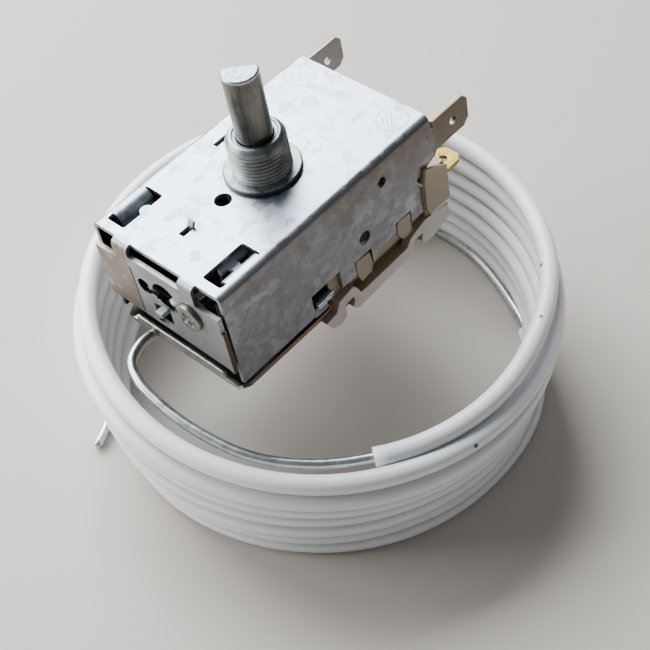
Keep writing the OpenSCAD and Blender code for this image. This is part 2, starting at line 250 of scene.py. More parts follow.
def tube(name, line, radius, sides):
    """A round tube swept along a line, with level rings that don't twist and a cap on each end."""
    line = np.asarray(line, float)
    along = np.gradient(line, axis=0)
    along /= np.linalg.norm(along, axis=1)[:, None]
    side = np.cross((0, 0, 1), along)
    side /= np.linalg.norm(side, axis=1)[:, None]
    over = np.cross(along, side)
    turn = np.linspace(0, 2 * np.pi, sides, endpoint=False)[None, :, None]
    radii = np.broadcast_to(radius, len(line))[:, None, None]
    ring = radii * (np.cos(turn) * side[:, None] + np.sin(turn) * over[:, None])
    points = (line[:, None] + ring).reshape(-1, 3)
    last = (len(line) - 1) * sides
    caps = [list(range(sides))[::-1], list(range(last, last + sides))]
    return mesh_object(name, points, ring_faces(len(line), sides) + caps)


def groove_shade(points, line):
    """How much each point of the sleeve is shaded by the next turn, from 0 to 1.

    It is the product of two fades. One is 1 where the point faces the next turn within about
    35 degrees, and 0 from about 65 degrees on. The other is 1 where the two turns' centres
    are 1.5 radii apart, about half where the turns touch, and 0 from 2.5 radii on.
    """
    lap = LAP // ANGLE_STEP
    radius = SLEEVE_R * MM
    out = (points.reshape(len(line), -1, 3) - line[:, None]) / radius
    shade = np.zeros(out.shape[:2])
    for here, there in ((slice(0, -lap), slice(lap, None)), (slice(lap, None), slice(0, -lap))):
        towards = line[there] - line[here]
        far = np.linalg.norm(towards, axis=1)[:, None]
        near = np.clip(GROOVE_REACH - far / radius, 0, 1)
        facing = np.einsum("ijk,ik->ij", out[here], towards / far)
        strength = np.clip((facing - GROOVE_FROM) / GROOVE_SPAN, 0, 1) * near
        shade[here] = np.maximum(shade[here], strength)
    return shade.ravel()


def white_sleeve():
    """The sleeve's tube, with the shade between its turns kept on its points."""
    line = from_coil(sleeve_line())
    obj = tube("white_sleeve", line, SLEEVE_R * MM, SLEEVE_SIDES)
    shade = groove_shade(points_of(obj), line)
    obj.data.attributes.new("groove_shade", "FLOAT", "POINT").data.foreach_set("value", shade)
    return obj


def capillary_tube(line):
    """The capillary's tube, which tapers at its pinched tip."""
    taper = np.ones(len(line))
    taper[-len(TIP_TAPER):] = TIP_TAPER
    return tube("capillary_tube", line, TUBE_R * MM * taper, TUBE_SIDES)


sleeve = white_sleeve()
line = tube_line()
capillary = capillary_tube(line)
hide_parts("sleeve_start", "sleeve_coil", "sleeve_end")
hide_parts("capillary_lead", "capillary_tail")
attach(sleeve, "base")
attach(capillary, "base")

# the bushing: its thread's radius and how near to it the profile is cut, the thread's two ends,
# depth, pitch and wear, and the profile as (height, radius)
THREAD_R = 4.95
THREAD_BAND = 0.05
THREAD_LOW = 0.95
THREAD_HIGH = 6.75
THREAD_DEPTH = 0.28
THREAD_PITCH = 0.75
THREAD_WEAR = 0.35
BUSHING = [
    (-1.4, 3.05), (-1.4, 4.6), (-0.8, 4.6), (-0.8, 4.0), (0.0, 4.0), (0.0, 6.3), (0.15, 6.5),
    (0.7, 6.5), (0.9, 6.3), (0.9, THREAD_R), (6.9, THREAD_R), (7.3, 4.75), (7.6, 4.5), (7.85, 4.25),
    (7.9, 4.1), (7.9, 3.8), (7.7, 3.66), (7.6, 3.15), (7.4, 3.05), (-1.4, 3.05),
]
BUSHING_SIDES = 72
# how near to a corner its two extra points lie, and the longest spans on the thread and elsewhere
CORNER = 0.03
THREAD_SPAN = 0.075
PLAIN_SPAN = 0.4
# the adjusting screw in the front panel: its axis as (x, z) and its profiles as (height, radius)
TRIM = (6.9, -7.4)
TRIM_SHANK = [(20.6, 0.0), (20.6, 1.1), (20.8, 1.35), (25.3, 1.35)]
TRIM_HEAD = [(25.3, 2.45), (25.45, 2.6), (25.9, 2.58), (26.04, 2.45), (26.1, 2.2), (26.1, 0.0)]
TRIM_SIDES = 60
# its longest spans on shank and head, and its thread's two ends, depth and pitch
TRIM_SPANS = (0.07, 0.12)
TRIM_THREAD = (20.7, 25.0, 0.2, 0.5)
# its thread is cut outside this radius and up to this height, and its face starts at the third
TRIM_CUT_R = 1.3
TRIM_CUT_END = 25.2
TRIM_FACE = 26.05
# the driver's cross: its lean in degrees, and its bars' half width, reach, fades and depth
CROSS_LEAN = 40
CROSS_HALF = 0.42
CROSS_REACH = (1.9, 1.5)
CROSS_FADES = (0.15, 0.25)
CROSS_DEPTH = 0.42
# the thread's form: its fade at both ends in pitches, its second wave, and its slow wear
THREAD_FADE = 0.6
THREAD_SECOND = 0.12
WEAR_ROUND = 3
WEAR_ALONG = 1.3
# how near points lie that are joined, in metres
WELD = 0.000001


def lathe(name, profile, sides, place, tooth):
    """A closed surface of revolution.

    The profile's first and last radius are 0 or meet. tooth adds to the radius as a function
    of angle, height and radius, and place takes (x, y, height) into the row frame.
    """
    height, radius = np.asarray(profile, float).T
    turn = np.linspace(0, 2 * np.pi, sides, endpoint=False)
    h = np.broadcast_to(height[:, None], (len(height), sides))
    r = np.broadcast_to(radius[:, None], h.shape).copy()
    r += tooth(turn[None, :], h, r)
    grid = np.stack([r * np.cos(turn), r * np.sin(turn), h], -1).reshape(-1, 3)
    obj = mesh_object(name, place(grid), ring_faces(len(height), sides))
    mesh = bmesh.new()
    mesh.from_mesh(obj.data)
    bmesh.ops.remove_doubles(mesh, verts=mesh.verts, dist=WELD)
    bmesh.ops.holes_fill(mesh, edges=[e for e in mesh.edges if e.is_boundary], sides=sides)
    bmesh.ops.recalc_face_normals(mesh, faces=mesh.faces)
    mesh.to_mesh(obj.data)
    mesh.free()
    return obj


def steps(points, gap):
    """A profile with each corner kept sharp by near points, and spans over two gaps cut up."""
    out = [points[0]]
    for a, b in zip(points[:-1], points[1:]):
        a, b = np.asarray(a, float), np.asarray(b, float)
        span = np.linalg.norm(b - a)
        near = [CORNER / span, 1 - CORNER / span] if span > 4 * CORNER else []
        inner = list(np.linspace(0, 1, max(2, int(span / gap)) + 1)[1:-1]) if span > 2 * gap else []
        out += [tuple(a + (b - a) * t) for t in sorted(near + inner)] + [tuple(b)]
    return out


def screw_tooth(low, high, depth, pitch, wear=0.0):
    """A thread cut inwards between two heights.

    It is a rounded wave along the helix: the phase is a full turn for each pitch of height,
    less the angle. It fades out at both ends, and wear flattens it by a slow wave round the axis.
    """
    def tooth(angle, height, radius):
        phase = 2 * np.pi * height / pitch - angle
        wave = 0.5 - 0.5 * np.sin(phase) - THREAD_SECOND * np.sin(2 * phase)
        fade = THREAD_FADE * pitch
        inside = np.clip((height - low) / fade, 0, 1) * np.clip((high - height) / fade, 0, 1)
        worn = 1 - wear * (0.5 + 0.5 * np.sin(WEAR_ROUND * angle + WEAR_ALONG * height))
        return -depth * inside * wave * worn
    return tooth


def bushing_tooth():
    """The thread on the outside only: the bore, the flange and the recess stay smooth."""
    cut = screw_tooth(THREAD_LOW, THREAD_HIGH, THREAD_DEPTH, THREAD_PITCH, THREAD_WEAR)

    def tooth(angle, height, radius):
        return np.where(abs(radius - THREAD_R) < THREAD_BAND, cut(angle, height, radius), 0.0)
    return tooth


def fine_bushing():
    """The bushing turned from its profile, in fine steps along the thread."""
    profile = [BUSHING[0]]
    for a, b in zip(BUSHING[:-1], BUSHING[1:]):
        profile += steps([a, b], THREAD_SPAN if a[1] == b[1] == THREAD_R else PLAIN_SPAN)[1:]
    return lathe("threaded_bushing", profile, BUSHING_SIDES, lambda p: p * MM, bushing_tooth())


def trim_tooth():
    """The adjusting screw's thread, on the outside of its shank only."""
    cut = screw_tooth(*TRIM_THREAD)

    def tooth(angle, height, radius):
        shank = (radius > TRIM_CUT_R) & (height < TRIM_CUT_END)
        return np.where(shank, cut(angle, height, radius), 0)
    return tooth


def along_front(p):
    """From the adjusting screw's axis into the row frame: its height runs out of the panel."""
    return np.stack([TRIM[0] + p[:, 0], -p[:, 2], TRIM[1] + p[:, 1]], -1) * MM


def cross(u, v):
    """How deep the driver's cross is at a place on the head, from 0 to 1.

    It is the deeper of two bars at right angles. A bar is the product of a fade at its half
    width and a fade at its end.
    """
    lean = math.radians(CROSS_LEAN)
    a = u * math.cos(lean) + v * math.sin(lean)
    b = v * math.cos(lean) - u * math.sin(lean)
    side, end = CROSS_FADES
    bars = [
        np.clip((CROSS_HALF - abs(wide)) / side, 0, 1) * np.clip((reach - abs(far)) / end, 0, 1)
        for wide, far, reach in ((b, a, CROSS_REACH[0]), (a, b, CROSS_REACH[1]))
    ]
    return np.maximum(*bars)


def fine_trim_screw():
    """The adjusting screw: a threaded shank and a flat head, with the cross sunk in its face."""
    profile = steps(TRIM_SHANK, TRIM_SPANS[0]) + steps(TRIM_HEAD, TRIM_SPANS[1])
    obj = lathe("threaded_trim_screw", profile, TRIM_SIDES, along_front, trim_tooth())
    points = points_of(obj)
    sunk = cross(points[:, 0] / MM - TRIM[0], points[:, 2] / MM - TRIM[1])
    face = points[:, 1] < -TRIM_FACE * MM
    points[:, 1] += np.where(face, CROSS_DEPTH * sunk * MM, 0)
    obj.data.vertices.foreach_set("co", points.ravel())
    obj.data.update()
    return obj


# the panel's narrow bridge between the keyhole and the lower window, as (x, z), and its two depths
BRIDGE = [
    (-2.72, -8.9), (-1.9, -8.88), (-1.2, -8.72), (-0.6, -8.75), (0.34, -9.1), (1.2, -9.3),
    (2.0, -9.62), (1.95, -9.8), (1.22, -9.86), (1.22, -9.42), (-0.42, -9.42), (-0.42, -10.3),
    (-2.72, -10.55),
]
BRIDGE_DEPTHS = (24.52, 25.29)
# the wall's strip that closes the lever's slot from below, as (y, z), and its two places in x
SILL = [
    (-7.32, -18.35), (-5.6, -18.4), (-4.6, -18.6), (-4.25, -18.95), (-4.3, -20.1), (-4.7, -20.3),
    (-7.32, -20.25),
]
SILL_PLACES = (13.46, 14.24)
SLAB_BEVEL = 0.08
BEVEL_SEGMENTS = 2


def slab(name, outline, depths, place):
    """A flat piece of sheet: the outline at two depths, with walls between."""
    outline = np.asarray(outline, float)
    n = len(outline)
    points = np.concatenate([np.column_stack([outline, np.full(n, depth)]) for depth in depths])
    walls = [(k, (k + 1) % n, n + (k + 1) % n, n + k) for k in range(n)]
    caps = [tuple(range(n))[::-1], tuple(range(n, 2 * n))]
    obj = mesh_object(name, place(points) * MM, walls + caps, smooth=False)
    mesh = bmesh.new()
    mesh.from_mesh(obj.data)
    bmesh.ops.recalc_face_normals(mesh, faces=mesh.faces)
    mesh.to_mesh(obj.data)
    mesh.free()
    edge = obj.modifiers.new("bevel", "BEVEL")
    edge.width = SLAB_BEVEL * MM
    edge.segments = BEVEL_SEGMENTS
    return obj


def on_panel(p):
    """(x, z, depth) into the row frame: the depth runs to the front."""
    return np.column_stack([p[:, 0], -p[:, 2], p[:, 1]])


def on_wall(p):
    """(y, z, place) into the row frame: the place is along x."""
    return np.column_stack([p[:, 2], p[:, 0], p[:, 1]])


bridge = slab("panel_bridge", BRIDGE, BRIDGE_DEPTHS, on_panel)
sill = slab("slot_sill", SILL, SILL_PLACES, on_wall)
for piece in (bridge, sill):
    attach(piece, "base")

bushing = fine_bushing()
trim_screw = fine_trim_screw()
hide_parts("mounting_bushing")
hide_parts("trim_screw")
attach(bushing, "base")
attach(trim_screw, "trim")

# materials: the housing's middle plane in x, in millimetres, and the part of a noise that varies most
HOUSING_MIDDLE = -0.35
NOISE_MIDDLE = (0.3, 0.7)
# noise patterns: waves a metre, finer layers, their strength, and a warp where there is one
PATTERNS = {
    "sheet_fine": (1500.0, 4.0, 0.6), "sheet_patches": (150.0, 5.0, 0.6, 0.4),
    "sheet_specks": (1100.0, 2.0, 0.5), "zinc_blots": (420.0, 4.0, 0.65),
    "zinc_grit": (1500.0, 3.0, 0.6), "zinc_scores": (2400.0, 2.0, 0.5),
    "zinc_pits": (1300.0, 4.0, 0.7), "shaft_streaks": (1500.0, 5.0, 0.65),
    "shaft_blots": (300.0, 4.0, 0.6), "shaft_grain": (2200.0, 3.0, 0.6),
    "nickel_blots": (500.0, 4.0, 0.65), "nickel_grain": (1900.0, 3.0, 0.6),
    "brass_grain": (1400.0, 4.0, 0.6), "lever_blots": (500.0, 4.0, 0.6),
    "sleeve_waves": (60.0, 3.0, 0.5), "sleeve_dust": (900.0, 4.0, 0.6),
    "sleeve_scuffs": (260.0, 5.0, 0.7), "beige_clouds": (180.0, 3.0, 0.5),
    "beige_grain": (1300.0, 4.0, 0.6), "mottle": (600.0, 4.0, 0.6),
}


def nodes_of(name, colour, rough, metal=0.0):
    """A new material with one shader, and the shader's plain values."""
    mat = bpy.data.materials.new(name)
    mat.use_nodes = True
    shader = mat.node_tree.nodes["Principled BSDF"]
    shader.inputs["Base Color"].default_value = (*colour, 1)
    shader.inputs["Roughness"].default_value = rough
    shader.inputs["Metallic"].default_value = metal
    return mat, shader


class Graph:
    """Short ways to add shader nodes to one material."""

    def __init__(self, name, colour, rough, metal=0.0):
        self.mat, self.shader = nodes_of(name, colour, rough, metal)
        self.tree = self.mat.node_tree
        self.coord = self.tree.nodes.new("ShaderNodeTexCoord").outputs["Object"]
        self.measures = {}

    def add(self, kind, links=None, **values):
        """A node with its settings, and with links or plain values on its inputs."""
        node = self.tree.nodes.new("ShaderNode" + kind)
        for key, value in values.items():
            setattr(node, key, value)
        for key, value in (links or {}).items():
            self.put(node.inputs[key], value)
        return node

    def put(self, socket, value):
        """A link, a colour or a number on one input."""
        if isinstance(value, bpy.types.NodeSocket):
            self.tree.links.new(value, socket)
        elif isinstance(value, tuple) and len(value) == 3 and socket.type == "RGBA":
            socket.default_value = (*value, 1)
        else:
            socket.default_value = value

    def set(self, socket, value):
        """A link or a value on one of the shader's own inputs."""
        self.put(self.shader.inputs[socket], value)

    def noise(self, pattern, coord=None):
        """A cloudy pattern from 0 to 1."""
        scale, detail, rough, warp = (*PATTERNS[pattern], 0.0)[:4]
        node = self.add("TexNoise", {
            "Vector": coord or self.coord, "Scale": scale, "Detail": detail,
            "Roughness": rough, "Distortion": warp,
        })
        return node.outputs["Fac"]

    def cells(self, scale, coord):
        """One random tone for each angular cell."""
        cell = self.add("TexVoronoi", {"Vector": coord, "Scale": scale}, distance="MANHATTAN")
        return self.add("SeparateColor", {0: cell.outputs["Color"]}).outputs[0]

    def math(self, operation, a, b=0.0, clamp=False):
        """One operation on two numbers."""
        return self.add("Math", {0: a, 1: b}, operation=operation, use_clamp=clamp).outputs[0]

    def both(self, first, *others):
        """The product of masks or numbers."""
        for other in others:
            first = self.math("MULTIPLY", first, other)
        return first

    def vector(self, operation, a, b, out=0):
        """One operation on two vectors, or on a vector and its scale."""
        key = "Scale" if operation == "SCALE" else 1
        return self.add("VectorMath", {0: a, key: b}, operation=operation).outputs[out]

    def ramp(self, value, low, high, a=0.0, b=1.0):
        """a at low, b at high, straight between them and level outside."""
        return self.add("MapRange", {"Value": value, 1: low, 2: high, 3: a, 4: b}).outputs[0]

    def mix(self, factor, a, b):
        """The colour a where factor is 0 and b where it is 1."""
        node = self.add("Mix", data_type="RGBA")
        for socket, value in zip((node.inputs[0], node.inputs[6], node.inputs[7]), (factor, a, b)):
            self.put(socket, value)
        return node.outputs[2]

    def measure(self, name):
        """A place in metres: X, Y or Z, |X|, out from the housing's middle, or round the shaft."""
        if name not in self.measures:
            if name == "round":
                value = across(self, (0.0, 0.0))
            elif name == "out":
                moved = self.math("ADD", self.measure("X"), -HOUSING_MIDDLE * MM)
                value = self.math("ABSOLUTE", moved)
            elif name == "|X|":
                value = self.math("ABSOLUTE", self.measure("X"))
            else:
                value = self.add("SeparateXYZ", {0: self.coord}).outputs[name]
            self.measures[name] = value
        return self.measures[name]

    def fade(self, name, low, high, a=0.0, b=1.0):
        """A ramp over one measure, between two places in millimetres."""
        return self.ramp(self.measure(name), low * MM, high * MM, a, b)

    def where(self, region):
        """1 inside a region, 0 outside: the product of its fades."""
        return self.both(*(self.fade(*edge) for edge in region))

    def rough(self, noise, low, high):
        """A roughness that runs from low to high over the middle part of a noise."""
        return self.ramp(noise, *NOISE_MIDDLE, low, high)

    def bump(self, height, strength, distance):
        """A relief in the shading only, at most distance metres high."""
        node = self.add("Bump", {"Strength": strength, "Distance": distance, "Height": height})
        self.set("Normal", node.outputs[0])


def flat(g):
    """The place on the plate's plane, whatever the height."""
    return g.vector("MULTIPLY", g.coord, (1.0, 1.0, 0.0))


def across(g, centre):
    """The distance from a point of the plate, whatever the height."""
    return g.vector("DISTANCE", flat(g), (centre[0] * MM, centre[1] * MM, 0.0), "Value")


def ring_gap(g, centre, radius):
    """The distance from a circle on the plate."""
    return g.math("ABSOLUTE", g.math("SUBTRACT", across(g, centre), radius * MM))


def bar_gap(g, a, b):
    """The distance from the straight line between two points of the plate."""
    a, b = Vector((*a, 0.0)) * MM, Vector((*b, 0.0)) * MM
    along = tuple((b - a).normalized())
    from_a = g.vector("SUBTRACT", flat(g), tuple(a))
    reach = g.vector("DOT_PRODUCT", from_a, along, "Value")
    held = g.math("MINIMUM", g.math("MAXIMUM", reach, 0.0), (b - a).length)
    return g.vector("DISTANCE", from_a, g.vector("SCALE", along, held), "Value")


# stamped marks on the plate: circles as (centre, radius), and the earth signs' bars
RINGS = [
    ((-10.85, 20.15), 2.75), ((9.8, 20.4), 2.7), ((-0.5, 20.3), 0.75), ((-0.6, 20.3), 1.3),
    ((0.35, 7.2), 2.1),
]
EARTH_BARS = [
    ((-12.5, 21.9), (-10.95, 20.25)), ((-12.7, 19.2), (-9.05, 21.4)),
    ((-11.8, 18.8), (-9.15, 20.7)), ((-10.5, 18.7), (-9.7, 19.4)), ((10.2, 20.35), (10.95, 21.7)),
    ((8.3, 21.7), (11.4, 18.65)), ((8.0, 20.9), (10.5, 18.65)), ((8.0, 19.9), (9.25, 18.8)),
]
# how far from a line's middle it starts to show and is full
LINE_FADE = (0.16, 0.05)
PLATE_TOP = [("Z", -0.3, -0.1)]
# regions of the sheet: each edge is a measure and the places, in millimetres, where it is out and in
SIDE_WALLS = [("out", 13.9, 14.5)]
PANEL = [("Y", -23.8, -25.0)]
PANEL_LEFT = [("X", -6.3, -6.7)]
WALLS_REAR = [("Z", -12.0, -1.5), ("Y", -24.0, 16.0)]
# painted shade inside the housing, under the plate and within the walls
INSIDE_SHADE = [("Z", -0.6, -1.0), ("Y", -24.7, -24.4), ("out", 14.1, 13.8), ("Y", 24.2, 23.8)]
# painted shade on the panel's right edge
PANEL_FLANK_SHADE = [("X", 14.1, 14.15), ("Y", -24.2, -24.3), ("Z", -6.2, -6.6)]
# painted shade on the keyhole's edge
KEYHOLE_EDGE_SHADE = [
    ("Y", -25.2, -25.1), ("Y", -24.3, -24.4), ("Z", -4.0, -4.4), ("Z", -9.7, -9.5),
    ("|X|", 5.8, 5.5),
]
# the earth tabs, with the largest share of their own colour
TABS = ("Y", 24.3, 25.0, 0.0, 0.6)
# the sheet's tones: wall and panel are darker than the plate, a painted reflection of a brown table
SHEET = {
    "default": (0.576, 0.59, 0.605), "bright": (0.43, 0.47, 0.51), "grey": (0.185, 0.22, 0.25),
    "wall": (0.216, 0.209, 0.205), "wall_pale": (0.259, 0.259, 0.263),
    "wall_crystal": (0.331, 0.338, 0.353), "wall_stain": (0.166, 0.133, 0.112),
    "wall_rear": (0.108, 0.0828, 0.0648), "panel": (0.325, 0.318, 0.312),
    "panel_left": (0.25, 0.19, 0.14), "panel_crystal": (0.418, 0.432, 0.446),
    "panel_stain": (0.216, 0.173, 0.137), "speck": (0.0864, 0.0648, 0.0504),
    # painted shade: inside here, and flank and keyhole on the next line
    "scuff": (0.288, 0.302, 0.317), "inside": (0.072, 0.072, 0.072), "tabs": (0.13, 0.09, 0.06),
    "flank_shade": (0.1, 0.07, 0.05), "keyhole_shade": (0.014, 0.012, 0.01), "stamp": (0.16, 0.18, 0.2),
}
# the crystals: waves a metre and reach in metres of the bends, and the cells a metre of both sizes
WARP_SCALE = 380.0
WARP_REACH = 0.0016
CRYSTAL_SCALES = (430.0, 900.0)


def crystals(g):
    """The tones of the zinc's large and small crystals, whose borders are bent a little."""
    warp = g.add("TexNoise", {"Vector": g.coord, "Scale": WARP_SCALE, "Detail": 1.0})
    moved = g.vector("SUBTRACT", warp.outputs["Color"], (0.5, 0.5, 0.5))
    place = g.vector("ADD", g.coord, g.vector("SCALE", moved, WARP_REACH))
    return [g.cells(scale, place) for scale in CRYSTAL_SCALES]


def wall_colour(g, large, small, side, patch):
    """The side walls: zinc with a few crystals and stains, darker and browner than the plate as a
    painted reflection of a brown table, browner up and to the rear.
    """
    colour = g.mix(g.ramp(small, 0.3, 0.9), SHEET["wall"], SHEET["wall_pale"])
    colour = g.mix(g.ramp(large, 0.75, 0.95, 0.0, 0.5), colour, SHEET["wall_crystal"])
    colour = g.mix(g.ramp(patch, 0.4, 0.75, 0.0, 0.6), colour, SHEET["wall_stain"])
    return g.mix(g.both(side, g.where(WALLS_REAR), 0.75), colour, SHEET["wall_rear"])


def panel_colour(g, large, patch):
    """The front panel: paler than the walls but darker than the plate, a painted reflection of the
    table, and brown in its left part.
    """
    colour = g.mix(g.where(PANEL_LEFT), SHEET["panel"], SHEET["panel_left"])
    colour = g.mix(g.ramp(large, 0.6, 0.9, 0.0, 0.4), colour, SHEET["panel_crystal"])
    return g.mix(g.ramp(patch, 0.45, 0.7, 0.0, 0.45), colour, SHEET["panel_stain"])


def stamped_lines(g):
    """1 on the lines of the plate's faint circles and earth signs, 0 elsewhere."""
    gaps = [ring_gap(g, *ring) for ring in RINGS] + [bar_gap(g, *bar) for bar in EARTH_BARS]
    gap = gaps[0]
    for other in gaps[1:]:
        gap = g.math("MINIMUM", gap, other)
    near, on = (width * MM for width in LINE_FADE)
    return g.both(g.ramp(gap, near, on), g.where(PLATE_TOP))


def galvanised():
    """Zinc crystals on sheet steel: bright on the plate, darker and browner on the walls and panel, a
    painted reflection of a brown table, and stained on the walls.
    """
    g = Graph("galvanised_sheet", SHEET["default"], 0.36, 1.0)
    large, small = crystals(g)
    grey = g.ramp(large, 0.55, 0.9, 0.0, 0.75), g.ramp(small, 0.5, 1.0, 0.0, 0.35)
    grey = g.math("ADD", *grey, clamp=True)
    fine = g.noise("sheet_fine")
    patch = g.noise("sheet_patches")
    side, front = g.where(SIDE_WALLS), g.where(PANEL)
    wall = g.math("MAXIMUM", side, front)
    # walls and panel: their own crystals and stains over a painted reflection of a brown table
    reflection_and_stains = g.mix(front, wall_colour(g, large, small, side, patch), panel_colour(g, large, patch))
    colour = g.mix(wall, g.mix(grey, SHEET["bright"], SHEET["grey"]), reflection_and_stains)
    speck = g.ramp(g.noise("sheet_specks"), 0.7, 0.76, 0.0, 0.7)
    stamp = stamped_lines(g)
    # inside, flank and keyhole below are painted shade
    for mask, name in (
        (g.both(speck, wall), "speck"), (g.both(g.ramp(fine, 0.35, 0.75), 0.12), "scuff"),
        (g.where(INSIDE_SHADE), "inside"), (g.fade(*TABS), "tabs"), (g.where(PANEL_FLANK_SHADE), "flank_shade"),
        (g.where(KEYHOLE_EDGE_SHADE), "keyhole_shade"), (g.both(stamp, 0.7), "stamp"),
    ):
        colour = g.mix(mask, colour, SHEET[name])
    g.set("Base Color", colour)
    rough = g.math("ADD", g.ramp(grey, 0.0, 1.0, 0.4, 0.3), g.both(wall, 0.06))
    g.set("Roughness", g.math("ADD", rough, g.both(fine, 0.08)))
    height = g.math("SUBTRACT", g.math("ADD", g.both(fine, 0.5), grey), g.both(stamp, 1.5))
    g.bump(height, 0.25, 0.00003)
    return g.mat


THREAD_CREST = [("round", 4.66, 4.92)]
THREAD_BODY = [("Z", 6.5, 6.0)]
ABOVE_THREAD = [("Z", 6.6, 7.2)]
FLANGE = [("Z", 1.0, 0.8)]
FLANGE_RIM = [("Z", 1.0, 0.8), ("round", 6.3, 6.5)]
ABOVE_FLANGE = [("Z", 0.9, 1.1)]
BORE_SHADE = [("round", 3.3, 3.0)]
# the bushing's tones: root and bore are painted shade, and crest and the two highlight tones are
# painted highlights
ZINC = {
    "default": (0.173, 0.18, 0.18), "dark": (0.072, 0.072, 0.0648), "pale": (0.173, 0.173, 0.158),
    "crest": (0.396, 0.403, 0.382), "root_shade": (0.0324, 0.0324, 0.0288),
    "collar_dark": (0.115, 0.13, 0.13), "collar_pale": (0.302, 0.331, 0.338),
    "flange_dark": (0.09, 0.108, 0.118), "flange_pale": (0.2, 0.24, 0.265),
    "scored": (0.06, 0.07, 0.075), "grit": (0.05, 0.055, 0.06), "rim": (0.0864, 0.0936, 0.0936),
    "highlight_root": (0.3, 0.33, 0.34), "highlight_crest": (0.62, 0.66, 0.68),
    "bore": (0.0576, 0.0576, 0.0576),
}
# the painted highlight on the bushing's front-left side: its direction in x and y, and its fade as two
# places in metres and two shares
HIGHLIGHT_WAY = (0.59, 0.81)
HIGHLIGHT_FADE = (0.0008, -0.0045, 0.0, 0.85)


def flange_colour(g, blot, grit):
    """The flange: blotched, scored in circles round the axis and gritty."""
    rings = g.add("CombineXYZ", {0: g.measure("round"), 1: 0.0, 2: 0.0}).outputs[0]
    colour = g.mix(g.ramp(blot, 0.4, 0.6), ZINC["flange_dark"], ZINC["flange_pale"])
    scored = g.ramp(g.noise("zinc_scores", rings), 0.55, 0.7, 0.0, 0.7)
    colour = g.mix(scored, colour, ZINC["scored"])
    return g.mix(g.ramp(grit, 0.55, 0.72), colour, ZINC["grit"])


def threaded_zinc():
    """The bushing: dark in the thread's roots and the bore, a painted shade; bright on crests and rim,
    a painted highlight, and brightest on its front-left side above the flange.
    """
    g = Graph("bushing_zinc", ZINC["default"], 0.42, 1.0)
    blot = g.noise("zinc_blots")
    crest = g.where(THREAD_CREST)
    colour = g.mix(blot, ZINC["dark"], ZINC["pale"])
    # painted highlight on the thread's crests
    colour = g.mix(g.both(crest, g.ramp(blot, 0.3, 0.6)), colour, ZINC["crest"])
    # painted shade in the thread's roots
    root_shade = g.both(g.ramp(crest, 0.6, 0.0), g.where(THREAD_BODY))
    colour = g.mix(root_shade, colour, ZINC["root_shade"])
    collar = g.mix(g.ramp(blot, 0.35, 0.65), ZINC["collar_dark"], ZINC["collar_pale"])
    colour = g.mix(g.where(ABOVE_THREAD), colour, collar)
    grit = g.noise("zinc_grit")
    colour = g.mix(g.where(FLANGE), colour, flange_colour(g, blot, grit))
    colour = g.mix(g.where(FLANGE_RIM), colour, ZINC["rim"])
    # painted highlight: brighter on the front-left side above the flange
    parts = [g.both(g.measure(name), share) for name, share in zip("XY", HIGHLIGHT_WAY)]
    toward_light = g.ramp(g.math("ADD", *parts), *HIGHLIGHT_FADE)
    lit_side = g.both(toward_light, g.where(ABOVE_FLANGE), g.ramp(blot, 0.2, 0.45, 0.7, 1.0))
    colour = g.mix(lit_side, colour, g.mix(crest, ZINC["highlight_root"], ZINC["highlight_crest"]))
    # painted shade in the bore
    g.set("Base Color", g.mix(g.where(BORE_SHADE), colour, ZINC["bore"]))
    g.set("Roughness", g.rough(blot, 0.34, 0.52))
    g.bump(g.noise("zinc_pits"), 0.6, 0.00006)
    return g.mat


SHAFT_STRETCH = (1.0, 1.0, 0.06)
SHAFT_END = [("Z", 20.34, 20.38)]
SHAFT_CHAMFER = [("Z", 19.8, 19.95), ("Z", 20.38, 20.32)]
SHAFT = {
    "default": (0.432, 0.439, 0.432), "dark": (0.1, 0.09, 0.075), "pale": (0.25, 0.25, 0.24),
    "stain": (0.09, 0.075, 0.055), "end_dark": (0.08, 0.1, 0.115), "end_pale": (0.27, 0.31, 0.34),
    "chamfer_dark": (0.26, 0.28, 0.28), "chamfer_pale": (0.6, 0.63, 0.62),
}


def drawn_zinc():
    """The shaft: long streaks down its length, a bright chamfer and a grainy end."""
    g = Graph("shaft_zinc", SHAFT["default"], 0.3, 1.0)
    stretched = g.vector("MULTIPLY", g.coord, SHAFT_STRETCH)
    streak = g.noise("shaft_streaks", stretched)
    blot = g.noise("shaft_blots")
    grain = g.noise("shaft_grain")
    end = g.where(SHAFT_END)
    body = g.mix(g.ramp(streak, 0.25, 0.75), SHAFT["dark"], SHAFT["pale"])
    body = g.mix(g.ramp(blot, 0.42, 0.7, 0.0, 0.6), body, SHAFT["stain"])
    chamfer = g.mix(blot, SHAFT["chamfer_dark"], SHAFT["chamfer_pale"])
    body = g.mix(g.where(SHAFT_CHAMFER), body, chamfer)
    top = g.mix(g.ramp(grain, 0.35, 0.65), SHAFT["end_dark"], SHAFT["end_pale"])
    g.set("Base Color", g.mix(end, body, top))
    g.set("Roughness", g.rough(streak, 0.24, 0.4))
    g.bump(g.math("ADD", streak, g.both(grain, end)), 0.25, 0.00004)
    return g.mat


NICKEL_GRAIN = ((0.86, 0.84, 0.78), (0.16, 0.13, 0.09))
# painted shade on the adjusting screw's shank, behind its head
TRIM_HEAD_PLACE = [("Y", -25.1, -25.2)]
TRIM_SHANK_SHADE = (0.1, 0.1, 0.1)
# painted shade with some dirt behind the lip, and painted shade at the left corner
PLATE_SHADE_AND_DIRT = [("Y", -24.05, -23.95), ("Z", -22.2, -22.1)]
PLATE_SHADED_CORNER = [("X", -11.8, -12.4), ("Z", -21.45, -21.35)]
PLATE_SIDES = [("out", 14.15, 14.22)]
PLATE_FACE = [("Y", -24.0, -24.2)]
